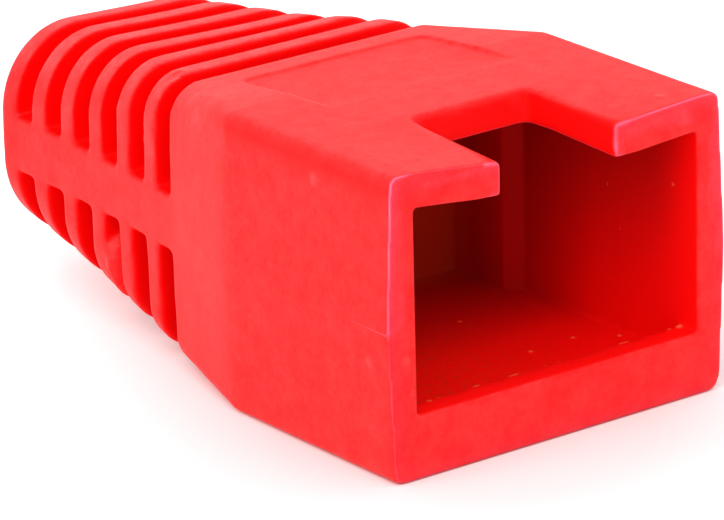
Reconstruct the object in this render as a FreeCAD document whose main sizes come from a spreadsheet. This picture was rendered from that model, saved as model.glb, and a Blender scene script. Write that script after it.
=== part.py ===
import FreeCAD, Part
import math
import os
import re
import Sketcher

# Strain relief boot for an eight-way modular plug, moulded in one piece of soft
# PVC in a two-part mould that opens up and down.  X runs across the boot, Y from
# the open mouth to the cable end, Z up.  All sizes are in millimetres.  The body
# is drawn with its mouth in the plane Y = 0 and then placed so that the origin
# lies in the middle of the box that it fills, on the surface that it rests on.

DRIVING_SIZES = [
    # Housing: the drafted box that grips the plug
    ("socket_width", 11.7),        # clear width between the side walls
    ("socket_height", 8.0),        # clear height between floor and roof
    ("socket_depth", 9.1),         # mouth to the stop that the plug's end meets
    ("side_wall", 1.15),           # side wall at the parting line
    ("floor_wall", 1.2),
    ("roof_wall", 1.2),
    ("draft_angle", 2.6),          # each half narrows away from the parting line
    ("housing_length", 8.8),       # mouth to the bend where the boot starts to taper
    ("housing_corner", 0.35),      # radius of the four long corners
    ("lip_height", 1.0),           # ridge across the mouth's floor, held by the plug
    ("lip_length", 0.95),
    # Stop and cable chamber behind the plug
    ("stop_step", 0.52),           # each side wall steps in by this, at 45 degrees
    ("chamber_end", 12.4),         # mouth to the chamber's end wall
    # Latch notch in the roof
    ("notch_width", 4.7),
    ("notch_length", 4.45),
    ("notch_corner", 0.35),
    # Thumb recess on the roof and shoulder
    ("recess_width", 7.7),
    ("recess_depth", 0.15),        # at the bend between housing and shoulder
    ("recess_reach", 1.9),         # runs out on the flat roof this far before the bend
    ("recess_margin", 1.2),        # land left in front of the first slot
    ("recess_corner", 0.5),
    # Shoulder: housing to the start of the ribbed tail
    ("shoulder_length", 4.3),
    ("start_width", 11.9),
    ("start_fall", 0.42),          # housing's top down to the tail's top
    ("start_rise", 0.17),          # housing's underside up to the tail's underside
    ("start_top_corner", 1.25),
    ("start_low_corner", 1.05),
    # Ribbed tail, at the middle of its length and at its end
    ("middle_width", 10.62),
    ("middle_fall", 0.82),
    ("middle_rise", 0.82),
    ("middle_top_corner", 2.2),
    ("middle_low_corner", 2.1),
    ("end_width", 10.04),
    ("end_fall", 1.33),
    ("end_rise", 1.5),
    ("end_top_corner", 3.0),
    ("end_low_corner", 3.0),
    ("end_round", 0.3),            # edge round the cable end
    ("tail_draft_angle", 1.0),
    ("slot_lead", 0.17),           # shoulder's end to the first slot
    ("slot_width", 1.0),
    ("slot_count", 6),
    ("rib_width", 0.88),
    ("end_collar", 1.05),          # last rib, a closed ring round the cable
    ("web_height", 2.0),           # side web that joins the ribs at the parting line
    # Way through for the cable
    ("cable_bore", 6.0),           # through the end collar, which steadies the cable
    ("rib_bore", 6.4),             # a little wider inside the ribs, so that they can bend
    ("lead_in", 0.8),              # countersink from the chamber into the bore
]

os.makedirs("parts", exist_ok=True)
doc = FreeCAD.newDocument("StrainReliefBoot")

sheet = doc.addObject("Spreadsheet::Sheet", "Dimensions")
for row, (alias, value) in enumerate(DRIVING_SIZES, start=1):
    sheet.set("A%d" % row, alias)
    sheet.set("B%d" % row, str(value))
    sheet.setAlias("B%d" % row, alias)
doc.recompute()


def size(text):
    """Value of a size formula whose words are aliases of the sheet."""
    return float(sheet.evalExpression(in_sheet(text)))


def in_sheet(text):
    """The same formula with each alias written as a cell of the sheet."""
    aliases = [alias for alias, _ in DRIVING_SIZES]
    return re.sub(r"[a-z_]+", lambda found: "Dimensions." + found[0]
                  if found[0] in aliases else found[0], text)


# Sizes that follow from the driving ones
HOUSING_WIDTH = "(socket_width + 2 * side_wall)"
HOUSING_HEIGHT = "(floor_wall + socket_height + roof_wall)"
PARTING_HEIGHT = "(%s / 2)" % HOUSING_HEIGHT
ROOF_INSIDE = "(floor_wall + socket_height)"
TAIL_START = "(housing_length + shoulder_length)"
FIRST_SLOT = "(%s + slot_lead)" % TAIL_START
SLOT_PITCH = "(slot_width + rib_width)"
COLLAR_START = "(%s + slot_count * %s - rib_width)" % (FIRST_SLOT, SLOT_PITCH)
TOTAL_LENGTH = "(%s + end_collar)" % COLLAR_START
TAIL_MIDDLE = "((%s + %s) / 2)" % (TAIL_START, TOTAL_LENGTH)
CHAMBER_WIDTH = "(socket_width - 2 * stop_step)"
CHAMBER_START = "(socket_depth + stop_step)"

body = doc.addObject("PartDesign::Body", "Boot")
body.Label = "strain_relief_boot"
origin_features = {item.Role: item for item in body.Origin.OriginFeatures}


def bind(item, prop, formula):
    """Tie one property to the sheet."""
    item.setExpression(prop, in_sheet(formula))


def new_sketch(name, plane, offset="0"):
    """Sketch of the body, parallel to an origin plane and offset along its normal."""
    sketch = body.newObject("Sketcher::SketchObject", name)
    sketch.AttachmentSupport = [(origin_features[plane], "")]
    sketch.MapMode = "FlatFace"
    if offset != "0":
        bind(sketch, "AttachmentOffset.Base.z", offset)
    return sketch


def cross_sketch(name, station):
    """Sketch square to the boot's length, at a distance from the mouth."""
    return new_sketch(name, "XZ_Plane", "0 - %s" % station if station != "0" else "0")


def named(sketch, name, formula, *constraint):
    """Dimension of a sketch that follows a size formula."""
    index = sketch.addConstraint(Sketcher.Constraint(*constraint, size(formula)))
    sketch.renameConstraint(index, name)
    bind(sketch, "Constraints." + name, formula)


def arc(centre_x, centre_y, radius, start, end):
    """Arc of a circle in a sketch, from one angle in degrees to another."""
    circle = Part.Circle(FreeCAD.Vector(centre_x, centre_y, 0), FreeCAD.Vector(0, 0, 1), radius)
    return Part.ArcOfCircle(circle, math.radians(start), math.radians(end))


def line(start, end):
    return Part.LineSegment(FreeCAD.Vector(*start, 0), FreeCAD.Vector(*end, 0))


def outer_section(name, station, width, bottom, top, top_corner, low_corner, draft):
    """Cross-section of the outside: widest at the parting line, with each side
    leaning in by the draft angle and four round corners."""
    sketch = cross_sketch(name, station)
    half, low, high = size(width) / 2, size(bottom), size(top)
    parting, lean = size(PARTING_HEIGHT), size(draft)
    sine, cosine = math.sin(math.radians(lean)), math.cos(math.radians(lean))
    high_radius, low_radius = size(top_corner), size(low_corner)
    high_centre = high - high_radius
    low_centre = low + low_radius
    high_x = half - (high_radius + (high_centre - parting) * sine) / cosine
    low_x = half - (low_radius + (parting - low_centre) * sine) / cosine
    high_side = (high_x + high_radius * cosine, high_centre + high_radius * sine)
    low_side = (low_x + low_radius * cosine, low_centre - low_radius * sine)
    sketch.addGeometry([
        line((-high_x, high), (high_x, high)),
        arc(high_x, high_centre, high_radius, lean, 90),
        line(high_side, (half, parting)),
        line((half, parting), low_side),
        arc(low_x, low_centre, low_radius, 270, 360 - lean),
        line((low_x, low), (-low_x, low)),
        arc(-low_x, low_centre, low_radius, 180 + lean, 270),
        line((-low_side[0], low_side[1]), (-half, parting)),
        line((-half, parting), (-high_side[0], high_side[1])),
        arc(-high_x, high_centre, high_radius, 90, 180 - lean),
    ])
    for constraint in [
        ("Tangent", 0, 2, 1, 2), ("Tangent", 1, 1, 2, 1), ("Coincident", 2, 2, 3, 1),
        ("Tangent", 3, 2, 4, 2), ("Tangent", 4, 1, 5, 1), ("Tangent", 5, 2, 6, 2),
        ("Tangent", 6, 1, 7, 1), ("Coincident", 7, 2, 8, 1), ("Tangent", 8, 2, 9, 2),
        ("Tangent", 9, 1, 0, 1), ("Horizontal", 0), ("Horizontal", 5),
        ("Symmetric", 8, 1, 2, 2, -2), ("Equal", 1, 9), ("Equal", 4, 6), ("Equal", 2, 8),
        ("Equal", 3, 7),
    ]:
        sketch.addConstraint(Sketcher.Constraint(*constraint))
    named(sketch, "top_corner", top_corner, "Radius", 1)
    named(sketch, "low_corner", low_corner, "Radius", 4)
    named(sketch, "width", width, "DistanceX", 8, 1, 2, 2)
    named(sketch, "parting", PARTING_HEIGHT, "DistanceY", -1, 1, 8, 1)
    named(sketch, "top", top, "DistanceY", -1, 1, 0, 1)
    named(sketch, "bottom", bottom, "DistanceY", -1, 1, 5, 1)
    for angle_name, edge, lean_sign in (("upper_lean", 8, -1), ("lower_lean", 7, 1)):
        index = sketch.addConstraint(
            Sketcher.Constraint("Angle", edge, math.radians(90 + lean_sign * lean)))
        sketch.renameConstraint(index, angle_name)
        formula = "90 deg %s %s * 1 deg" % ("-" if lean_sign < 0 else "+", draft)
        bind(sketch, "Constraints." + angle_name, formula)
    return sketch


def rectangle(sketch, width, low, high):
    """Rectangle that is centred on the sketch's upright axis."""
    half, bottom, top = size(width) / 2, size(low), size(high)
    corners = [(-half, bottom), (half, bottom), (half, top), (-half, top)]
    sketch.addGeometry([line(corners[i], corners[(i + 1) % 4]) for i in range(4)])
    for i in range(4):
        sketch.addConstraint(Sketcher.Constraint("Coincident", i, 2, (i + 1) % 4, 1))
    for constraint in [("Symmetric", 0, 1, 0, 2, -2), ("Vertical", 1), ("Horizontal", 2),
                       ("Vertical", 3)]:
        sketch.addConstraint(Sketcher.Constraint(*constraint))
    named(sketch, "width", width, "DistanceX", 0, 1, 0, 2)
    named(sketch, "low", low, "DistanceY", -1, 1, 0, 1)
    named(sketch, "high", high, "DistanceY", -1, 1, 2, 1)
    return sketch


def round_rectangle(sketch, width, low, high, corner):
    """Rectangle with four round corners, centred on the sketch's upright axis."""
    half, bottom, top, radius = size(width) / 2, size(low), size(high), size(corner)
    inner = half - radius
    sketch.addGeometry([
        line((-inner, bottom), (inner, bottom)),
        arc(inner, bottom + radius, radius, 270, 360),
        line((half, bottom + radius), (half, top - radius)),
        arc(inner, top - radius, radius, 0, 90),
        line((inner, top), (-inner, top)),
        arc(-inner, top - radius, radius, 90, 180),
        line((-half, top - radius), (-half, bottom + radius)),
        arc(-inner, bottom + radius, radius, 180, 270),
    ])
    for constraint in [
        ("Tangent", 0, 2, 1, 1), ("Tangent", 1, 2, 2, 1), ("Tangent", 2, 2, 3, 1),
        ("Tangent", 3, 2, 4, 1), ("Tangent", 4, 2, 5, 1), ("Tangent", 5, 2, 6, 1),
        ("Tangent", 6, 2, 7, 1), ("Tangent", 7, 2, 0, 1), ("Horizontal", 0), ("Vertical", 2),
        ("Horizontal", 4), ("Vertical", 6), ("Equal", 1, 3), ("Equal", 1, 5), ("Equal", 1, 7),
    ]:
        sketch.addConstraint(Sketcher.Constraint(*constraint))
    named(sketch, "corner", corner, "Radius", 1)
    named(sketch, "right", "%s / 2" % width, "DistanceX", -1, 1, 2, 1)
    named(sketch, "left", "%s / 2" % width, "DistanceX", 6, 1, -1, 1)
    named(sketch, "low", low, "DistanceY", -1, 1, 0, 1)
    named(sketch, "high", high, "DistanceY", -1, 1, 4, 1)
    return sketch


def circle(sketch, diameter, height):
    """Circle centred on the sketch's upright axis."""
    centre = FreeCAD.Vector(0, size(height), 0)
    sketch.addGeometry(Part.Circle(centre, FreeCAD.Vector(0, 0, 1), size(diameter) / 2))
    sketch.addConstraint(Sketcher.Constraint("PointOnObject", 0, 3, -2))
    named(sketch, "diameter", diameter, "Diameter", 0)
    named(sketch, "height", height, "DistanceY", -1, 1, 0, 3)
    return sketch


def loft(kind, name, sketches, ruled):
    """Additive or subtractive loft through sketches."""
    feature = body.newObject("PartDesign::" + kind, name)
    feature.Profile = sketches[0]
    feature.Sections = sketches[1:]
    feature.Ruled = ruled
    doc.recompute()
    return feature


def pocket(name, sketch, length=None, reverse=False, both_ways=False):
    """Cut from a sketch, to a depth or right through."""
    feature = body.newObject("PartDesign::Pocket", name)
    feature.Profile = sketch
    feature.Reversed = reverse
    if both_ways:
        feature.SideType = "Symmetric"
    if length is None:
        feature.Type = "ThroughAll"
    else:
        feature.Type = "Length"
        bind(feature, "Length", length)
    doc.recompute()
    return feature


def housing_section(name, station):
    """Cross-section of the housing, which is the same all along."""
    return outer_section(name, station, HOUSING_WIDTH, "0", HOUSING_HEIGHT,
                         "housing_corner", "housing_corner", "draft_angle")


def tail_section(name, station, where):
    """Cross-section at the start, the middle or the end of the tail."""
    return outer_section(name, station, "%s_width" % where, "%s_rise" % where,
                         "(%s - %s_fall)" % (HOUSING_HEIGHT, where),
                         "%s_top_corner" % where, "%s_low_corner" % where,
                         "tail_draft_angle")


# Housing: one straight length of its cross-section
housing = body.newObject("PartDesign::Pad", "Housing")
housing.Profile = housing_section("HousingOutline", "0")
housing.Reversed = True
bind(housing, "Length", "housing_length")
doc.recompute()

# Shoulder: the box narrows and its corners open out towards the tail
shoulder = loft("AdditiveLoft", "Shoulder",
                [housing_section("BendOutline", "housing_length"),
                 tail_section("ShoulderEnd", TAIL_START, "start")], True)

# Tail: one smooth skin through three sections, its end edge rounded
tail_sections = [
    tail_section("TailStart", TAIL_START, "start"),
    tail_section("TailMiddle", TAIL_MIDDLE, "middle"),
    tail_section("TailEnd", TOTAL_LENGTH, "end"),
]
tail = loft("AdditiveLoft", "Tail", tail_sections, False)
end_edges = []
for number, edge in enumerate(tail.Shape.Edges, start=1):
    if edge.BoundBox.YMin > size(TOTAL_LENGTH) - 0.01:
        end_edges.append("Edge%d" % number)
end_round = body.newObject("PartDesign::Fillet", "EndRound")
end_round.Base = (tail, end_edges)
bind(end_round, "Radius", "end_round")
doc.recompute()

# Plug socket: the mouth over its lip, the socket behind it, the 45 degree stop
# and the cable chamber
mouth = rectangle(cross_sketch("MouthOutline", "0"), "socket_width",
                  "(floor_wall + lip_height)", ROOF_INSIDE)
pocket("Mouth", mouth, "lip_length")
socket = rectangle(cross_sketch("SocketOutline", "lip_length"), "socket_width",
                   "floor_wall", ROOF_INSIDE)
pocket("Socket", socket, "(socket_depth - lip_length)")
stop_front = rectangle(cross_sketch("StopFront", "socket_depth"), "socket_width",
                       "floor_wall", ROOF_INSIDE)
stop_rear = rectangle(cross_sketch("StopRear", CHAMBER_START), CHAMBER_WIDTH,
                      "floor_wall", ROOF_INSIDE)
loft("SubtractiveLoft", "PlugStop", [stop_front, stop_rear], True)
chamber = rectangle(cross_sketch("ChamberOutline", CHAMBER_START), CHAMBER_WIDTH,
                    "floor_wall", ROOF_INSIDE)
pocket("CableChamber", chamber, "(chamber_end - %s)" % CHAMBER_START)

# Bore: a countersunk lead-in from the chamber, a free length inside the ribs, and
# the end collar's own hole
lead_in_mouth = circle(cross_sketch("LeadInMouth", "chamber_end"),
                       "(rib_bore + 2 * lead_in)", PARTING_HEIGHT)
lead_in_throat = circle(cross_sketch("LeadInThroat", "(chamber_end + lead_in)"),
                        "rib_bore", PARTING_HEIGHT)
loft("SubtractiveLoft", "LeadIn", [lead_in_mouth, lead_in_throat], True)
free_bore = circle(cross_sketch("RibBoreOutline", "chamber_end"), "rib_bore", PARTING_HEIGHT)
pocket("RibBore", free_bore, "(%s - chamber_end)" % COLLAR_START)
collar_bore = circle(cross_sketch("CollarOutline", COLLAR_START), "cable_bore", PARTING_HEIGHT)
pocket("CableBore", collar_bore)

# Latch notch, open to the mouth and to the socket
notch = round_rectangle(new_sketch("NotchOutline", "XY_Plane", ROOF_INSIDE), "notch_width",
                        "0 - 2 * notch_corner", "notch_length", "notch_corner")
pocket("LatchNotch", notch, reverse=True)

# Thumb recess: its floor starts level with the roof and runs down past the bend
recess = new_sketch("RecessOutline", "XY_Plane", "(%s - recess_depth)" % HOUSING_HEIGHT)
recess.AttachmentOffset.Rotation = FreeCAD.Rotation(FreeCAD.Vector(1, 0, 0), -1)
bind(recess, "AttachmentOffset.Base.y", "housing_length")
bind(recess, "AttachmentOffset.Rotation.Angle", "atan(0 - recess_depth / recess_reach)")
round_rectangle(recess, "recess_width", "0 - (recess_reach + recess_corner)",
                "(%s - recess_margin - housing_length)" % FIRST_SLOT, "recess_corner")
pocket("ThumbRecess", recess, reverse=True)


def slot_sketch(name, low, high):
    """Side view of one slot, from the edge of the web to past the skin."""
    sketch = new_sketch(name, "YZ_Plane")
    start, width = size(FIRST_SLOT), size("slot_width")
    bottom, top = size(low), size(high)
    corners = [(start, bottom), (start + width, bottom), (start + width, top), (start, top)]
    sketch.addGeometry([line(corners[i], corners[(i + 1) % 4]) for i in range(4)])
    for i in range(4):
        sketch.addConstraint(Sketcher.Constraint("Coincident", i, 2, (i + 1) % 4, 1))
    for constraint in [("Horizontal", 0), ("Vertical", 1), ("Horizontal", 2), ("Vertical", 3)]:
        sketch.addConstraint(Sketcher.Constraint(*constraint))
    named(sketch, "start", FIRST_SLOT, "DistanceX", -1, 1, 0, 1)
    named(sketch, "width", "slot_width", "DistanceX", 0, 1, 0, 2)
    named(sketch, "low", low, "DistanceY", -1, 1, 0, 1)
    named(sketch, "high", high, "DistanceY", -1, 1, 2, 1)
    return sketch


# Ladder slots: cut across the boot from above and below into the bore, so that
# the ribs hang together only by the web along each side
web_top = "(%s + web_height / 2)" % PARTING_HEIGHT
web_bottom = "(%s - web_height / 2)" % PARTING_HEIGHT
upper_slot = pocket("UpperSlot", slot_sketch("UpperSlotSide", web_top, HOUSING_HEIGHT),
                    both_ways=True)
lower_slot = pocket("LowerSlot", slot_sketch("LowerSlotSide", "0", web_bottom),
                    both_ways=True)
slots = body.newObject("PartDesign::LinearPattern", "Slots")
slots.Originals = [upper_slot, lower_slot]
slots.Direction = (origin_features["Y_Axis"], [""])
bind(slots, "Occurrences", "slot_count")
bind(slots, "Length", "(slot_count - 1) * %s" % SLOT_PITCH)
body.Tip = slots

bind(body, "Placement.Base.y", "0 - %s / 2" % TOTAL_LENGTH)
doc.recompute()

# Nothing is written unless every feature is sound
for item in doc.Objects:
    if "Invalid" in item.State or "Error" in item.State:
        raise RuntimeError("%s failed: %s" % (item.Name, item.State))
shape = body.Shape
if shape.isNull() or not shape.isValid() or len(shape.Solids) != 1:
    raise RuntimeError("the boot is not one sound solid")
shape.exportStep(os.path.join("parts", body.Label + ".step"))

box = shape.BoundBox
print("box %.3f x %.3f x %.3f mm" % (box.XLength, box.YLength, box.ZLength))
print("low corner %.3f %.3f %.3f" % (box.XMin, box.YMin, box.ZMin))
print("volume %.1f mm3, centre of mass %s" % (shape.Volume, shape.Solids[0].CenterOfMass))
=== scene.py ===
import math

import bmesh
import bpy
import numpy as np
from mathutils import Matrix, Vector, noise


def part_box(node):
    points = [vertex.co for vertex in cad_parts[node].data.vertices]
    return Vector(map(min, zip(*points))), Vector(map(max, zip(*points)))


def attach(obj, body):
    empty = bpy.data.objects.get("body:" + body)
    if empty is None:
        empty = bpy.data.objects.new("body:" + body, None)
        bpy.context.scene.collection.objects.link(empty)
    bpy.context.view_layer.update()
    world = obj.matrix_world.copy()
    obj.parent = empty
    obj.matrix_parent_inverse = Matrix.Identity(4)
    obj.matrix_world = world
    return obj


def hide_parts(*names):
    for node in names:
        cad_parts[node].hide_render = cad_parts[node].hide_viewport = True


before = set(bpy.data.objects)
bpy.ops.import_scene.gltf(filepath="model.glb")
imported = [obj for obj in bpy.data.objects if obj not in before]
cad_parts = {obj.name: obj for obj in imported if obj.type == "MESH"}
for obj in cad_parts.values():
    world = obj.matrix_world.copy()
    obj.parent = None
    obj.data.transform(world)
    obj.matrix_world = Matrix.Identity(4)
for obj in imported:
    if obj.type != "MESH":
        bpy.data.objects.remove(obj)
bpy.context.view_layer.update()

# ---------------------------------------------------------------------------
# Boot moulding
# One soft PVC shell, moulded between two cavity halves and stripped off its core while
# still warm.  Nothing on it is sharp: the corners run out in small rounds, the ribs are
# rounder still, and the ears beside the latch notch hang down a little.

MM = 0.001
boot_low, boot_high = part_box("strain_relief_boot")
mouth_y = boot_low.y
roof_z = boot_high.z
parting_z = (boot_low.z + boot_high.z) / 2


def station(distance):
    """Place along the boot, from a distance in millimetres behind the mouth."""
    return mouth_y + distance * MM


def merged_copy(node):
    """Closed bmesh of a node, with the loose corners of its triangles joined."""
    shell = bmesh.new()
    shell.from_mesh(node.data)
    bmesh.ops.remove_doubles(shell, verts=shell.verts, dist=0.0001 * MM)
    return shell


def add_object(name, mesh):
    piece = bpy.data.objects.new(name, mesh)
    bpy.context.scene.collection.objects.link(piece)
    return piece


def make_plain(piece):
    """Bakes the modifiers of a piece into its mesh."""
    graph = bpy.context.evaluated_depsgraph_get()
    mesh = bpy.data.meshes.new_from_object(piece.evaluated_get(graph))
    piece.modifiers.clear()
    piece.data = mesh


def read_vectors(items, field, width, kind=float):
    """One row for each vertex or edge, read in one go."""
    values = np.empty(len(items) * width, kind)
    items.foreach_get(field, values)
    return values.reshape(-1, width)


def store(mesh, name, values):
    """Keeps one number for each vertex, for a material to read."""
    field = mesh.attributes.new(name, "FLOAT", "POINT")
    field.data.foreach_set("value", np.asarray(values, np.float32))


def rise(values, start, end):
    """0 up to start and 1 from end on, with a soft turn at both."""
    share = np.clip((values - start) / (end - start), 0, 1)
    return share * share * (3 - 2 * share)


# Lengths behind the mouth are in millimetres, and sides and heights in metres
SOCKET_SIDE = 5.85 * MM
SOCKET_FLOOR = boot_low.z + 1.2 * MM
ROOF_INSIDE = roof_z - 1.2 * MM
LIP_TOP = boot_low.z + 2.2 * MM
LIP_LENGTH = 0.95
BEND = 8.8
SOCKET_DEPTH = 9.1
CHAMBER_SIDE = 5.33 * MM
CHAMBER_START = 9.62
CORE_END = 13.3
NOTCH_LENGTH = 4.6
NOTCH_SIDE = 2.35 * MM
EAR_SAG = {"left": 0.42 * MM, "right": 0.22 * MM}
TAIL_DIP = 0.22 * MM
# In millimetres, the lean at the notch's rear end and how much it turns up to the mouth
EAR_LEAN = {"left": -0.26, "right": -0.04}
EAR_LEAN_GAIN = {"left": 0.34, "right": 0.08}


def sagged(places):
    """The same places, with the ears let down towards the notch and the mouth."""
    x, y, z = places.T
    side_share = np.clip((SOCKET_SIDE - np.abs(x)) / (SOCKET_SIDE - NOTCH_SIDE), 0, 1)
    length_share = np.clip(1 - (y - mouth_y) / (NOTCH_LENGTH * MM), 0, 1)
    sag = np.where(x < 0, EAR_SAG["left"], EAR_SAG["right"])
    drop = sag * side_share ** 1.1 * length_share
    lowered = places.copy()
    lowered[:, 2] -= np.where(z > ROOF_INSIDE - 0.1 * MM, drop, 0)
    return lowered


def core_share(places, fade=0.12 * MM):
    """1 on the surfaces that the core shaped, 0 on those of the cavity halves: first the
    socket, its stop and the chamber, then the notch.  Both stop short of the outer edges."""
    x, y, z = places.T
    stop_side = CHAMBER_SIDE + np.maximum(0, station(CHAMBER_START) - y)
    side = np.where(y > station(SOCKET_DEPTH), stop_side, SOCKET_SIDE)
    depth = np.minimum.reduce([side + fade - np.abs(x), y - mouth_y - 0.05 * MM,
                               ROOF_INSIDE + fade - z, z - SOCKET_FLOOR + fade,
                               station(CORE_END) - y])
    notch = np.minimum.reduce([NOTCH_SIDE + 0.35 * MM - np.abs(x), y - mouth_y - 0.15 * MM,
                               station(NOTCH_LENGTH) + fade - y, z - ROOF_INSIDE,
                               roof_z - 0.14 * MM - z])
    return np.clip(np.maximum(depth, notch) / fade, 0, 1)


def eased(places, edges, share, passes):
    """Moves each vertex towards the middle of its neighbours, by its share, again and again."""
    starts, ends = edges[(share[edges] > 0).any(axis=1)].T
    count = np.bincount(np.concatenate([starts, ends]), minlength=len(places))
    count = np.maximum(count, 1)[:, None]
    for _ in range(passes):
        total = np.stack([np.bincount(starts, places[ends, axis], len(places))
                          + np.bincount(ends, places[starts, axis], len(places))
                          for axis in range(3)], axis=1)
        places = places + share[:, None] * (total / count - places)
    return places


shell = merged_copy(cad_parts["strain_relief_boot"])

# A cold lump fills the left end of the third lower slot, against its rear rib
LUMP_CENTRE = (-4.6 * MM, station(17.68), boot_low.z + 2.3 * MM)
LUMP_TURN = math.radians(-20)
LUMP_HALF = (0.84 * MM, 0.46 * MM, 1.2 * MM)
lump = bmesh.ops.create_icosphere(shell, subdivisions=4, radius=1.0)["verts"]
lump_place = Matrix.Translation(LUMP_CENTRE) @ Matrix.Rotation(LUMP_TURN, 4, "X") \
    @ Matrix.Diagonal((*LUMP_HALF, 1.0))
lump_centre = np.array(lump_place.translation)
bmesh.ops.transform(shell, matrix=lump_place, verts=lump)

VOXEL = 0.07 * MM
boot_mesh = bpy.data.meshes.new("boot_moulding")
shell.to_mesh(boot_mesh)
shell.free()
boot = add_object("boot_moulding", boot_mesh)
remesh = boot.modifiers.new("even_skin", "REMESH")
remesh.mode = "VOXEL"
remesh.voxel_size = VOXEL
make_plain(boot)

places = read_vectors(boot.data.vertices, "co", 3)
edges = read_vectors(boot.data.edges, "vertices", 2, np.int32)
x, y, z = places.T
behind = (y - mouth_y) / MM
outside = 1 - core_share(places)
near_notch = (1 - rise(np.abs(x), 2.6 * MM, 4.6 * MM)) \
    * rise(z, ROOF_INSIDE - 0.3 * MM, ROOF_INSIDE)
forward = np.clip(1 - behind / NOTCH_LENGTH, 0, 1)
lean = np.where(x < 0, EAR_LEAN_GAIN["left"] * forward + EAR_LEAN["left"],
                EAR_LEAN_GAIN["right"] * forward + EAR_LEAN["right"]) * MM
places[:, 0] += lean * near_notch * (1 - rise(behind, 4.8, 6.0))
on_ear = (1 - rise(np.abs(x), 2.45 * MM, 3.4 * MM)) * (1 - rise(behind, 3.2, 4.2)) \
    * rise(z, ROOF_INSIDE - 0.3 * MM, ROOF_INSIDE - 0.1 * MM)
on_foot = outside * (1 - rise(z - boot_low.z, 0.25 * MM, 0.5 * MM)) \
    * (1 - rise(behind, 0.8, 1.4))
mid_height = rise(z, boot_low.z + 0.7 * MM, boot_low.z + 1.6 * MM) \
    * (1 - rise(z, roof_z - 1.5 * MM, roof_z - 0.8 * MM))
near_bend = 1 - np.clip(np.abs(behind - BEND) / 1.4, 0, 1)
on_side = rise(np.abs(x), 4.6 * MM, 5.4 * MM)

# Each share with its number of passes: the whole skin, the outer edges, the ribs, the ears,
# the front edge of the foot and the soft turn of the side walls at the bend
EASING = [(np.full(len(places), 0.5), 2),
          (0.6 * outside * rise(behind, 0.3, 2.0) * on_side, 5),
          (0.6 * rise(behind, 13.0, 13.5), 4),
          (0.6 * on_ear, 16),
          (0.6 * on_foot, 14),
          (0.9 * outside * near_bend * on_side * mid_height, 60)]
for share, passes in EASING:
    places = eased(places, edges, share, passes)
places = sagged(places)

# The ribs dip a little at their far top corner, where the tail twisted while it cooled
places[:, 2] -= TAIL_DIP * rise(behind, 15.0, 19.0) * rise(x, -5 * MM, 3 * MM) \
    * rise(z, parting_z, roof_z - 1.5 * MM)

# Chips and pimples outside, crumbs inside: side, distance behind the mouth, height over
# the floor, reach and height of each in millimetres
PIMPLES = [(-4.7, 14.5, 9.75, 0.16, -0.07), (-4.35, 14.75, 9.95, 0.12, 0.05),
           (-5.7, 16.9, 8.3, 0.1, 0.015), (-5.6, 15.05, 7.7, 0.09, 0.015),
           (1.4, 16.4, 9.7, 0.1, 0.04), (-7.0, 3.9, 9.4, 0.1, 0.03),
           (-6.95, 1.0, 4.05, 0.14, 0.03), (-6.3, 0.0, 4.2, 0.12, 0.03),
           (-6.05, 0.0, 3.1, 0.1, 0.025), (5.0, 0.9, 10.4, 0.12, 0.03)]
CRUMBS = [(5.85, 4.63, 6.2, 0.07, 0.04), (5.85, 4.0, 4.8, 0.06, 0.04),
          (5.85, 1.25, 7.06, 0.05, 0.03), (2.2, 4.3, 1.2, 0.09, 0.06),
          (4.1, 4.4, 1.2, 0.1, 0.07), (5.4, 3.55, 1.2, 0.08, 0.06),
          (2.2, 8.1, 1.2, 0.08, 0.05), (5.7, 0.8, 2.2, 0.13, 0.06),
          (5.35, 0.9, 2.2, 0.08, 0.05), (-4.75, 0.85, 2.2, 0.1, 0.05)]
boot.data.vertices.foreach_set("co", places.ravel())
boot.data.update()
normals = read_vectors(boot.data.vertex_normals, "vector", 3)
crumbs_and_glints = np.zeros(len(places))
pimples = np.zeros(len(places))
for number, (side, behind_mouth, height, reach, proud) in enumerate(PIMPLES + CRUMBS):
    centre = np.array((side * MM, station(behind_mouth), boot_low.z + height * MM))
    away = np.linalg.norm(places - centre, axis=1)
    bump = np.exp(-((away - away.min()) / (reach * MM)) ** 2)
    places += normals * (proud * MM * bump * (bump > 0.001))[:, None]
    if number < len(PIMPLES):
        pimples = np.maximum(pimples, bump)
    else:
        crumbs_and_glints = np.maximum(crumbs_and_glints, bump)

# The cold lump never filled out: its skin stayed pitted.  The depth is in millimetres
PIT_WIDTH = 0.3 * MM
PIT_DEPTH = 0.07
PITTED_REACH = 1.35 * MM
lump_away = np.linalg.norm(places - lump_centre, axis=1)
for number in np.nonzero(lump_away < PITTED_REACH)[0]:
    pit = noise.noise(Vector(places[number] / PIT_WIDTH))
    fading = 1 - lump_away[number] / PITTED_REACH
    places[number] += normals[number] * PIT_DEPTH * MM * pit * fading

# The lip tore a little where the core pulled past it, in long waves with short ones on them.
# Length and lift are in millimetres, and the waves in turns for each millimetre
TEAR_LENGTH = 0.16
TEAR_LIFT = 0.04
LONG_WAVES, SHORT_WAVES = 1.3, 5
at_lip = np.exp(-((places[:, 1] - station(LIP_LENGTH)) / (0.12 * MM)) ** 2) \
    * rise(places[:, 2], LIP_TOP - 0.35 * MM, LIP_TOP - 0.1 * MM) \
    * (places[:, 2] < LIP_TOP + 0.2 * MM) * (np.abs(places[:, 0]) < SOCKET_SIDE + 0.05 * MM)
for number in np.nonzero(at_lip > 0.05)[0]:
    across = places[number, 0] / MM
    tear = noise.noise(Vector((across * LONG_WAVES, 3.0, 0))) \
        + 0.6 * noise.noise(Vector((across * SHORT_WAVES, 0, 0)))
    places[number, 1] += at_lip[number] * tear * TEAR_LENGTH * MM
    places[number, 2] += at_lip[number] * abs(tear) * TEAR_LIFT * MM
    # Painted glints: the torn lip's raised waves are marked pale with the crumbs, as highlights
    crumbs_and_glints[number] = max(crumbs_and_glints[number], at_lip[number] * (tear > 0.3))
boot.data.vertices.foreach_set("co", places.ravel())
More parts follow.
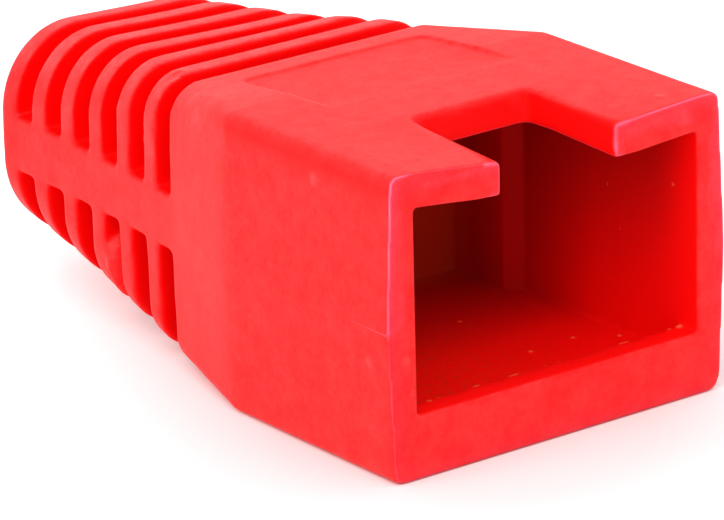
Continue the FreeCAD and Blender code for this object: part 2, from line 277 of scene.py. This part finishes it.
store(boot.data, "crumbs_and_glints", crumbs_and_glints)
store(boot.data, "pimples", pimples)

TRIANGLES = 185000
thin_out = boot.modifiers.new("thin_out", "DECIMATE")
thin_out.ratio = TRIANGLES / (2 * len(boot.data.polygons))
make_plain(boot)
boot.data.shade_smooth()

# Fields for the material.  First the surface as it now lies
places = read_vectors(boot.data.vertices, "co", 3)
normals = read_vectors(boot.data.vertex_normals, "vector", 3)
x, y, z = places.T
behind = (y - mouth_y) / MM
core = core_share(places)
store(boot.data, "core_side", core)

# Flash on the mouth's outer edges, with a painted highlight along their rounded turn: thicker
# over the parting line than under it, thinner on the ears' roof edges, none round the socket,
# and a little under the notch's rims
# Painted highlight: the band where the mouth's outer edges turn about 45 degrees from the front
turned = np.exp(-((normals[:, 1] + 0.66) / 0.26) ** 2)
height_share = 0.35 + 0.65 * rise(z, parting_z - 0.15 * MM, parting_z)
along_roof = rise(z, roof_z - 0.5 * MM, roof_z - 0.35 * MM) \
    * (np.abs(x) > NOTCH_SIDE + 0.6 * MM) * (np.abs(x) < 6.3 * MM)
ear_share = np.where(along_roof > 0.5, np.where(x < 0, 0.32, 0.75), 1.0)
round_socket = (np.abs(x) < SOCKET_SIDE + 0.35 * MM) & (np.abs(x) > NOTCH_SIDE + 0.45 * MM) \
    & (z > LIP_TOP - 0.35 * MM) & (z < ROOF_INSIDE + 0.3 * MM)
round_socket |= (np.abs(z - LIP_TOP) < 0.35 * MM) & (np.abs(x) < SOCKET_SIDE + 0.35 * MM)
flash_and_highlight = turned * (1 - rise(behind, 0.25, 0.45)) * (1 - core) * height_share * ~round_socket \
    * ear_share
notch_rims = np.exp(-((normals[:, 2] + 0.7) / 0.25) ** 2) \
    * (np.abs(x) < NOTCH_SIDE + 0.4 * MM) * (np.abs(z - ROOF_INSIDE) < 0.35 * MM) \
    * (behind < NOTCH_LENGTH + 0.2)
store(boot.data, "flash_and_edge_highlight", np.maximum(flash_and_highlight, 0.35 * notch_rims))

# How deep a core surface lies, for the painted shade deeper in, the painted shade near the roof
# on the right wall, and grit on the floor
in_notch = rise(z, ROOF_INSIDE - 0.2 * MM, ROOF_INSIDE - 0.05 * MM) \
    * (1 - rise(behind, NOTCH_LENGTH + 0.3, NOTCH_LENGTH + 0.5)) \
    * (np.abs(x) < NOTCH_SIDE + 0.7 * MM)
# Painted shade on the core side: its colour follows this depth, full red by the mouth and darker
# towards the rear
store(boot.data, "core_depth", np.clip(behind / CORE_END, 0, 1) * (1 - in_notch))
# Painted shade: the right wall of the socket darkens towards the roof
store(boot.data, "painted_roof_shade", rise(z, boot_low.z + 1.0 * MM, ROOF_INSIDE) * (x > 0)
      * rise(behind, 0.0, 2.5) * (1 - rise(behind, SOCKET_DEPTH - 0.1, SOCKET_DEPTH))
      * (1 - in_notch))
store(boot.data, "grit", core * rise(normals[:, 2], 0.6, 0.9) * (1 - rise(x, -3.0 * MM, 4.5 * MM))
      * rise(behind, 0.9, 1.6))

# Frost on every outer surface.  Paler still on the ribs' crests and the top faces, a painted
# sheen, and at the housing's rear corner and on the pimples; less under the roof's edge, a
# painted shade, and on the collar; and none inside the slots, which leaves them a deeper red, a
# painted shade
PLAIN_FROST = 0.8
LUMP_FROST = 0.55
# Painted shade: no frost on the slots' walls and ends
slot_walls = rise(np.abs(normals[:, 1]), 0.5, 0.8) * rise(behind, 12.9, 13.3) * (behind < 24.3)
slot_ends = rise(behind, 13.1, 13.3) * (behind < 23.6) \
    * rise(np.abs(normals[:, 2]), 0.25, 0.5) * (np.abs(z - parting_z) < 1.6 * MM)
high_on_rib = rise(z, parting_z + 1.0 * MM, parting_z + 2.4 * MM)
# Painted sheen: paler on the ribs' crests, and all round them higher up
rib_crest_sheen = rise(behind, 13.0, 13.3) \
    * np.maximum(rise(normals[:, 2], 0.3, 0.7), 0.3 * high_on_rib)
pimples = read_vectors(boot.data.attributes["pimples"].data, "value", 1)[:, 0]
rear_corner = np.exp(-((x + 5.6 * MM) ** 2 + (y - station(11.6)) ** 2) / (1.5 * MM) ** 2) \
    * rise(z, roof_z - 1.6 * MM, roof_z - 0.6 * MM)
# Painted sheen: paler on the top faces
top_face_sheen = rise(normals[:, 2], 0.6, 0.9) * (behind < 13.2)
collar = rise(behind, 23.3, 23.6)
# Painted shade: deeper red in a band under the roof's edge on the left wall
painted_edge_shade = np.exp(-((z - roof_z + 0.5 * MM) / (0.24 * MM)) ** 2) \
    * rise(-normals[:, 0], 0.75, 0.95) * (1 - rise(behind, 9.0, 11.0))
frost_sheen_and_shade = (1 - core) * (1 - slot_walls) * (1 - slot_ends) \
    * np.maximum(PLAIN_FROST + 1.2 * rib_crest_sheen + 1.0 * rear_corner + 0.2 * top_face_sheen
                 - 0.6 * painted_edge_shade - 0.3 * collar + 1.2 * pimples, 0)
lump_away = np.linalg.norm(places - lump_centre, axis=1)
on_lump = 1 - rise(lump_away, 0.7 * MM, 1.15 * MM)
store(boot.data, "frost_sheen_and_shade", np.maximum(frost_sheen_and_shade, LUMP_FROST * on_lump))

# The rosy rim of the mouth, and the coarser thumb recess
near_rim = np.maximum.reduce([rise(np.abs(x), 6.1 * MM, 6.9 * MM),
                              1 - rise(z - boot_low.z, 0.1 * MM, 0.9 * MM),
                              rise(z, roof_z - 0.9 * MM, roof_z - 0.1 * MM)])
store(boot.data, "rosy_rim", near_rim * rise(-normals[:, 1], 0.7, 0.95) * (behind < 0.3)
      * (1 - core))
store(boot.data, "thumb_side", rise(3.85 - np.abs(x) / MM, 0.0, 0.25) * rise(behind, 6.6, 8.0)
      * (1 - rise(behind, 11.9, 12.05)) * (z > roof_z - 0.8 * MM))


def linear(code):
    """Linear colour from an sRGB hex code."""
    channels = [int(code[i:i + 2], 16) / 255 for i in (1, 3, 5)]
    return [c / 12.92 if c <= 0.04045 else ((c + 0.055) / 1.055) ** 2.4 for c in channels] + [1.0]


def add_node(tree, kind, inputs=None, links=None, **settings):
    """Adds one node: its settings, the values of its inputs and the sockets that feed it."""
    node = tree.nodes.new(kind)
    for name, value in settings.items():
        setattr(node, name, value)
    for name, value in (inputs or {}).items():
        node.inputs[name].default_value = value
    for name, socket in (links or {}).items():
        tree.links.new(socket, node.inputs[name])
    return node


def empty_material(name):
    material = bpy.data.materials.new(name)
    material.use_nodes = True
    material.node_tree.nodes.clear()
    return material


def frosted_soft_pvc():
    """Soft PVC from a finely blasted mould: deep red and half matt, under a pale frost that
    lies in patches and thicker on the ribs, where the paler crests and top faces are a painted
    sheen, and the deeper red under the roof's edge and in the slots a painted shade.  The core
    side has no frost: it is a clear red with painted shade, darker and browner the deeper it
    lies and darker near the roof on the right wall, with grit on its floor.  The flash on the
    mouth's edges is thin enough to look lilac, with a painted highlight along their rounded
    turn, and the rim beside it is a little rosy."""
    material = empty_material("frosted_soft_pvc")
    tree = material.node_tree
    where = add_node(tree, "ShaderNodeTexCoord").outputs["Object"]
    field = {name: add_node(tree, "ShaderNodeAttribute", attribute_name=name).outputs["Fac"]
             for name in ("frost_sheen_and_shade", "rosy_rim", "core_side", "core_depth", "painted_roof_shade", "grit",
                          "flash_and_edge_highlight", "crumbs_and_glints", "thumb_side")}

    # The frost lies in patches of 0.7 mm with specks of 0.2 mm, drawn out a little into
    # streaks 0.5 mm wide that run up the side walls
    patches = add_node(tree, "ShaderNodeTexNoise", {"Scale": 1 / (0.7 * MM), "Detail": 5.0,
                                                    "Roughness": 0.62}, {"Vector": where})
    specks = add_node(tree, "ShaderNodeTexNoise", {"Scale": 1 / (0.2 * MM), "Detail": 2.0},
                      {"Vector": where})
    both = add_node(tree, "ShaderNodeMix", {"Factor": 0.35},
                    {"A": patches.outputs["Fac"], "B": specks.outputs["Fac"]})
    upright = add_node(tree, "ShaderNodeMapping", {"Scale": (1.0, 1.0, 0.08)}, {"Vector": where})
    streaks = add_node(tree, "ShaderNodeTexNoise", {"Scale": 1 / (0.5 * MM), "Detail": 2.0},
                       {"Vector": upright.outputs["Vector"]})
    drawn = add_node(tree, "ShaderNodeMix", {"Factor": 0.14},
                     {"A": both.outputs["Result"], "B": streaks.outputs["Fac"]})
    bloom = add_node(tree, "ShaderNodeMapRange", {"From Min": 0.38, "From Max": 0.62},
                     {"Value": drawn.outputs["Result"]})
    pale = add_node(tree, "ShaderNodeMix", {"A": linear("#F71A1C"), "B": linear("#FC3637")},
                    {"Factor": bloom.outputs["Result"]}, data_type="RGBA")
    red = add_node(tree, "ShaderNodeMix", {"A": linear("#FC0203")},
                   {"Factor": field["frost_sheen_and_shade"], "B": pale.outputs["Result"]},
                   data_type="RGBA", clamp_factor=False)
    rim_share = add_node(tree, "ShaderNodeMath", {1: 0.15}, {0: field["rosy_rim"]},
                         operation="MULTIPLY")
    outer = add_node(tree, "ShaderNodeMix", {"B": linear("#FB3C62")},
                     {"Factor": rim_share.outputs["Value"], "A": red.outputs["Result"]},
                     data_type="RGBA")

    # The core side, from the mouth to the rear wall, as painted shade: full red by the mouth,
    # darker and browner deeper in, with grit of 0.2 mm on the floor
    inside = add_node(tree, "ShaderNodeValToRGB", None, {"Fac": field["core_depth"]})
    stops = inside.color_ramp.elements
    stops[0].position, stops[0].color = 0.08, linear("#FC0201")
    stops[1].position, stops[1].color = 0.96, linear("#C03008")
    for place, colour in ((0.4, "#F80301"), (0.68, "#C40301"), (0.85, "#A40401")):
        stops.new(place).color = linear(colour)
    # Painted shade near the roof on the right wall, towards a dark red
    shaded = add_node(tree, "ShaderNodeMath", {1: 0.66}, {0: field["painted_roof_shade"]},
                      operation="MULTIPLY")
    roof_shaded = add_node(tree, "ShaderNodeMix", {"B": linear("#8C0201")},
                     {"Factor": shaded.outputs["Value"], "A": inside.outputs["Color"]},
                     data_type="RGBA")
    scattered = add_node(tree, "ShaderNodeMapRange", {"From Min": 0.45, "From Max": 0.7,
                                                      "To Max": 0.45},
                         {"Value": specks.outputs["Fac"]})
    caught = add_node(tree, "ShaderNodeMath", None, {0: scattered.outputs["Result"],
                                                     1: field["grit"]},
                      operation="MULTIPLY")
    gritty = add_node(tree, "ShaderNodeMix", {"B": linear("#A83A12")},
                      {"Factor": caught.outputs["Value"], "A": roof_shaded.outputs["Result"]},
                      data_type="RGBA")
    deep = add_node(tree, "ShaderNodeMix", None,
                    {"Factor": field["core_side"], "A": outer.outputs["Result"],
                     "B": gritty.outputs["Result"]}, data_type="RGBA")

    # Lilac flash with its painted edge highlight, uneven over lengths of 1.6 mm, and crumbs
    # scuffed pale, with painted glints on the torn lip's raised waves
    thin = add_node(tree, "ShaderNodeMapRange", {"From Min": 0.1, "From Max": 0.9,
                                                 "To Max": 0.6},
                    {"Value": field["flash_and_edge_highlight"]})
    length = add_node(tree, "ShaderNodeTexNoise", {"Scale": 1 / (1.6 * MM), "Detail": 2.0},
                      {"Vector": where})
    uneven = add_node(tree, "ShaderNodeMapRange", {"From Min": 0.35, "From Max": 0.6,
                                                   "To Min": 0.45, "To Max": 1.0},
                      {"Value": length.outputs["Fac"]})
    lilac = add_node(tree, "ShaderNodeMath", None, {0: thin.outputs["Result"],
                                                    1: uneven.outputs["Result"]},
                     operation="MULTIPLY")
    edged = add_node(tree, "ShaderNodeMix", {"B": linear("#FF93C0")},
                     {"Factor": lilac.outputs["Value"], "A": deep.outputs["Result"]},
                     data_type="RGBA")
    # Crumbs scuffed pale, and painted glints on the torn lip
    pale_crumbs_and_glints = add_node(tree, "ShaderNodeMapRange", {"From Min": 0.35, "From Max": 0.9,
                                                    "To Max": 0.7},
                       {"Value": field["crumbs_and_glints"]})
    colour = add_node(tree, "ShaderNodeMix", {"B": linear("#FF6A42")},
                      {"Factor": pale_crumbs_and_glints.outputs["Result"], "A": edged.outputs["Result"]},
                      data_type="RGBA")

    # The blasted grain is finer than shows from here, so it is drawn at 0.09 mm.  The thumb
    # recess is a little rougher, and the core side rougher again
    grain = add_node(tree, "ShaderNodeTexNoise", {"Scale": 1 / (0.09 * MM), "Detail": 3.0,
                                                  "Roughness": 0.6}, {"Vector": where})
    matt = add_node(tree, "ShaderNodeMapRange", {"To Min": 0.38, "To Max": 0.54},
                    {"Value": grain.outputs["Fac"]})
    coarser = add_node(tree, "ShaderNodeMath", {1: 0.07}, {0: field["thumb_side"],
                                                           2: matt.outputs["Result"]},
                       operation="MULTIPLY_ADD")
    roughness = add_node(tree, "ShaderNodeMath", {1: 0.2}, {0: field["core_side"],
                                                            2: coarser.outputs["Value"]},
                         operation="MULTIPLY_ADD")
    fine = add_node(tree, "ShaderNodeBump", {"Strength": 0.25, "Distance": 0.02 * MM},
                    {"Height": grain.outputs["Fac"]})
    waves = add_node(tree, "ShaderNodeBump", {"Strength": 0.3, "Distance": 0.05 * MM},
                     {"Height": patches.outputs["Fac"], "Normal": fine.outputs["Normal"]})
    shader = add_node(tree, "ShaderNodeBsdfPrincipled", {"IOR": 1.5, "Specular IOR Level": 0.12,
                                                         "Subsurface Weight": 0.6,
                                                         "Subsurface Radius": (1.0, 0.08, 0.06),
                                                         "Subsurface Scale": 1.2 * MM},
                      {"Base Color": colour.outputs["Result"],
                       "Roughness": roughness.outputs["Value"],
                       "Normal": waves.outputs["Normal"]})
    add_node(tree, "ShaderNodeOutputMaterial", None, {"Surface": shader.outputs["BSDF"]})
    return material


boot.data.materials.clear()
boot.data.materials.append(frosted_soft_pvc())
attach(boot, "root")
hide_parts("strain_relief_boot")

# ---------------------------------------------------------------------------
# Parting line
# The two cavity halves met along the widest line of the housing.  A hair of flash was
# left there at the mouth, on the left side, and dies out towards the bend.

RIDGE_START = 0.02
RIDGE_LENGTH = 3.8
RIDGE_STEPS = 24
RIDGE_RADIUS = 0.035 * MM
RIDGE_SUNK = 0.03 * MM
RIDGE_WAVER = 0.3
RIDGE_SEED = 4.0
RIDGE_FLASH = 0.45


def swept_ridge():
    """Tree that sweeps a small round along a curve and thins it out towards its end."""
    tree = bpy.data.node_groups.new("swept_ridge", "GeometryNodeTree")
    sockets = tree.interface
    sockets.new_socket("Geometry", in_out="INPUT", socket_type="NodeSocketGeometry")
    sockets.new_socket("Geometry", in_out="OUTPUT", socket_type="NodeSocketGeometry")
    for name in ("Radius", "Waver", "Seed"):
        sockets.new_socket(name, in_out="INPUT", socket_type="NodeSocketFloat")
    sockets.new_socket("Finish", in_out="INPUT", socket_type="NodeSocketMaterial")
    given = add_node(tree, "NodeGroupInput").outputs
    along = add_node(tree, "GeometryNodeSplineParameter")
    taper = add_node(tree, "ShaderNodeMapRange", {"To Min": 1.0, "To Max": 0.25},
                     {"Value": along.outputs["Factor"]})
    unsteady = add_node(tree, "ShaderNodeTexNoise", {"Scale": 9.0},
                        {"W": given["Seed"], "Vector": along.outputs["Factor"]},
                        noise_dimensions="4D")
    thin = add_node(tree, "ShaderNodeMath", None, {0: unsteady.outputs["Fac"],
                                                   1: given["Waver"],
                                                   2: taper.outputs["Result"]},
                    operation="MULTIPLY_ADD")
    thickness = add_node(tree, "ShaderNodeMath", None, {0: thin.outputs["Value"],
                                                        1: given["Radius"]},
                         operation="MULTIPLY")
    ring = add_node(tree, "GeometryNodeCurvePrimitiveCircle", {"Resolution": 10, "Radius": 1.0})
    swept = add_node(tree, "GeometryNodeCurveToMesh", {"Fill Caps": True},
                     {"Curve": given["Geometry"], "Profile Curve": ring.outputs["Curve"],
                      "Scale": thickness.outputs["Value"]})
    real = add_node(tree, "GeometryNodeRealizeInstances", None,
                    {"Geometry": swept.outputs["Mesh"]})
    finished = add_node(tree, "GeometryNodeSetMaterial", None,
                        {"Geometry": real.outputs["Geometry"], "Material": given["Finish"]})
    add_node(tree, "NodeGroupOutput", None, {"Geometry": finished.outputs["Geometry"]})
    return tree


def set_input(modifier, name, value):
    """Sets a named input of a node modifier, by its identifier."""
    for item in modifier.node_group.interface.items_tree:
        if item.name == name and item.in_out == "INPUT":
            modifier[item.identifier] = value


path = bpy.data.curves.new("parting_path", "CURVE")
path.dimensions = "3D"
line = path.splines.new("POLY")
line.points.add(RIDGE_STEPS)
for number, point in enumerate(line.points):
    distance = RIDGE_START + RIDGE_LENGTH * number / RIDGE_STEPS
    point.co = (boot_low.x + RIDGE_SUNK, station(distance), parting_z, 1)
ridge = add_object("parting_flash", path)
sweep = ridge.modifiers.new("sweep", "NODES")
sweep.node_group = swept_ridge()
set_input(sweep, "Radius", RIDGE_RADIUS)
set_input(sweep, "Waver", RIDGE_WAVER)
set_input(sweep, "Seed", RIDGE_SEED)
set_input(sweep, "Finish", boot.data.materials[0])
graph = bpy.context.evaluated_depsgraph_get()
ridge_mesh = bpy.data.meshes.new_from_object(ridge.evaluated_get(graph))
bpy.data.objects.remove(ridge)
ridge = add_object("parting_flash", ridge_mesh)
ridge.data.shade_smooth()
store(ridge.data, "flash_and_edge_highlight", np.full(len(ridge.data.vertices), RIDGE_FLASH))
store(ridge.data, "frost_sheen_and_shade", np.full(len(ridge.data.vertices), PLAIN_FROST))
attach(ridge, "root")

# ---------------------------------------------------------------------------
# Floor, light and camera
# A plain white floor with a painted glow that lightens the boot's shadow away from a point in
# front of the mouth until it is the white of the background, an even pale sky, and three soft
# boxes: one overhead, one at the left and one in front.

FLOOR_HALF = 1.5
# Painted light: where the floor's glow starts and ends, round a point in front of the mouth
CLEAR_CENTRE = (-2 * MM, -10 * MM, 0)
CLEAR_FROM, CLEAR_TO = 6 * MM, 21 * MM
CLEAREST = 0.375
SKY_LIGHT = 0.71


def background_share(tree):
    """1 where the background is seen or mirrored, 0 where it lights the boot."""
    rays = add_node(tree, "ShaderNodeLightPath").outputs
    seen = add_node(tree, "ShaderNodeMath", None, {0: rays["Is Camera Ray"],
                                                   1: rays["Is Glossy Ray"]},
                    operation="MAXIMUM")
    through = add_node(tree, "ShaderNodeMath", None, {0: seen.outputs["Value"],
                                                      1: rays["Is Transmission Ray"]},
                       operation="MAXIMUM")
    return through.outputs["Value"]


floor = add_object("floor", bpy.data.meshes.new("floor"))
floor_shape = bmesh.new()
bmesh.ops.create_grid(floor_shape, x_segments=1, y_segments=1, size=FLOOR_HALF)
floor_shape.to_mesh(floor.data)
floor_shape.free()
floor.location.z = boot_low.z

# White paper, matt and even.  Only the background's own rays see its glow, a painted light that
# lightens the boot's shadow, more under the tail than in front
white = empty_material("white_paper")
tree = white.node_tree
paper = add_node(tree, "ShaderNodeBsdfDiffuse", {"Color": linear("#F4F4F4")})
spot = add_node(tree, "ShaderNodeTexCoord").outputs["Object"]
away = add_node(tree, "ShaderNodeVectorMath", {1: CLEAR_CENTRE}, {0: spot},
                operation="DISTANCE")
clear = add_node(tree, "ShaderNodeMapRange", {"From Min": CLEAR_FROM, "From Max": CLEAR_TO,
                                              "To Max": CLEAREST},
                 {"Value": away.outputs["Value"]})
painted_glow = add_node(tree, "ShaderNodeEmission", {"Color": linear("#FFFFFF")},
                {"Strength": clear.outputs["Result"]})
lit = add_node(tree, "ShaderNodeAddShader")
tree.links.new(paper.outputs[0], lit.inputs[0])
tree.links.new(painted_glow.outputs[0], lit.inputs[1])
seen = add_node(tree, "ShaderNodeMixShader", None, {"Fac": background_share(tree)})
tree.links.new(paper.outputs[0], seen.inputs[1])
tree.links.new(lit.outputs[0], seen.inputs[2])
add_node(tree, "ShaderNodeOutputMaterial", None, {"Surface": seen.outputs[0]})
floor.data.materials.append(white)

world = bpy.data.worlds.new("studio")
bpy.context.scene.world = world
world.use_nodes = True
tree = world.node_tree
tree.nodes.clear()
strength = add_node(tree, "ShaderNodeMapRange", {"To Min": SKY_LIGHT, "To Max": 1.0},
                    {"Value": background_share(tree)})
sky = add_node(tree, "ShaderNodeBackground", {"Color": linear("#FFFFFF")},
               {"Strength": strength.outputs["Result"]})
add_node(tree, "ShaderNodeOutputWorld", None, {"Surface": sky.outputs[0]})


def soft_box(name, place, aim, width, power):
    """Square area lamp, turned to face a point."""
    lamp = bpy.data.lights.new(name, "AREA")
    lamp.size = width
    lamp.energy = power
    holder = bpy.data.objects.new(name, lamp)
    holder.location = place
    holder.rotation_euler = (aim - place).to_track_quat("-Z", "Y").to_euler()
    bpy.context.scene.collection.objects.link(holder)


middle = (boot_low + boot_high) / 2
soft_box("overhead_box", middle + Vector((0, 0.05, 0.35)), middle, 0.5, 0.1)
soft_box("left_box", middle + Vector((-0.28, -0.04, 0.19)), middle, 0.35, 0.6)
soft_box("front_box", middle + Vector((-0.06, -0.2, 0.28)), middle, 0.3, 0.42)

# The camera looks down on the front left corner through a long lens
AZIMUTH = math.radians(-36.9)
ELEVATION = math.radians(19.634)
ROLL = math.radians(-1.356)
DISTANCE = 193.92 * MM
AIM_RIGHT = -6.483 * MM
AIM_UP = 5.773 * MM
SENSOR = 36.0
LENS = 296.67
turn = Matrix.Rotation(AZIMUTH, 3, "Z") @ Matrix.Rotation(math.pi / 2 - ELEVATION, 3, "X") \
    @ Matrix.Rotation(ROLL, 3, "Z")
camera = bpy.data.objects.new("camera", bpy.data.cameras.new("camera"))
camera.data.sensor_width = SENSOR
camera.data.lens = LENS
camera.data.clip_start = 10 * MM
camera.location = Vector((0, mouth_y, boot_low.z)) + turn @ Vector((AIM_RIGHT, AIM_UP, DISTANCE))
camera.rotation_euler = turn.to_euler()
bpy.context.scene.collection.objects.link(camera)
bpy.context.scene.camera = camera
bpy.context.scene.view_settings.view_transform = "Standard"
